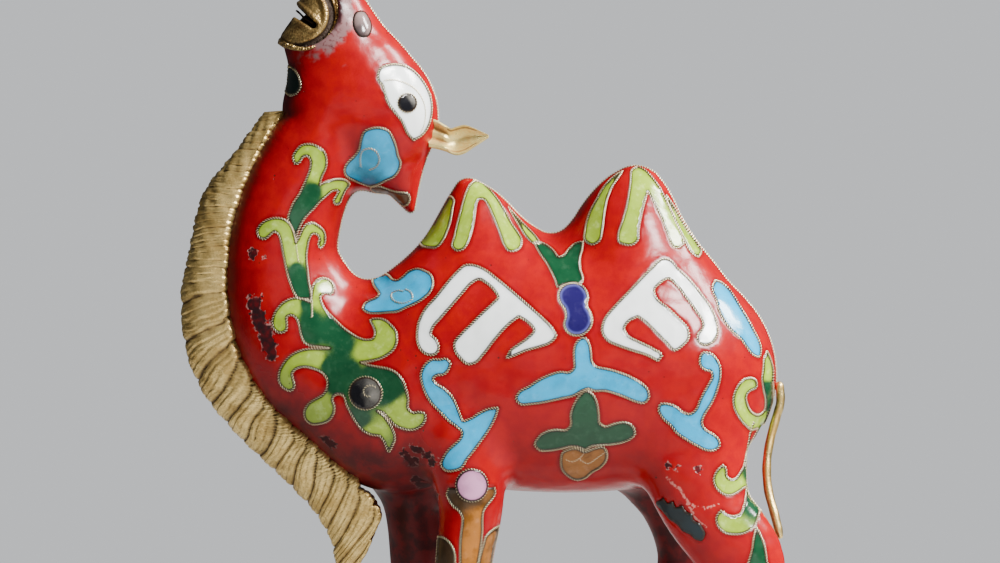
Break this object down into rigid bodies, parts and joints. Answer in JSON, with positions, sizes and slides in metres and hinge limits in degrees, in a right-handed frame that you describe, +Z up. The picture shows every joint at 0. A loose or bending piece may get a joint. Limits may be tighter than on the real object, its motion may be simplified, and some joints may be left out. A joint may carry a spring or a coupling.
{
  "type": "cloisonne camel figurine",
  "caption": "Standing two-humped camel in red cloisonne enamel with scrolled cells of twisted wire, and gilt mane, muzzle, ears and tail.",
  "frame": {"origin": "on the ground under the middle of the overall box", "axes": "+Z up, the camel faces -X, its left flank is on the -Y side"},
  "size_m": [0.0912, 0.0294, 0.1094],
  "materials": {
    "red_enamel": "glossy opaque red enamel over copper, with coloured cells and twisted gilt wires",
    "gilt": "worn gilding over cast brass, brown in the grooves"
  },
  "bodies": {
    "root": {"body": "red_enamel", "muzzle": "gilt", "mane": "gilt", "ear_left": "gilt", "ear_right": "gilt", "tail": "gilt"}
  },
  "joints": []
}
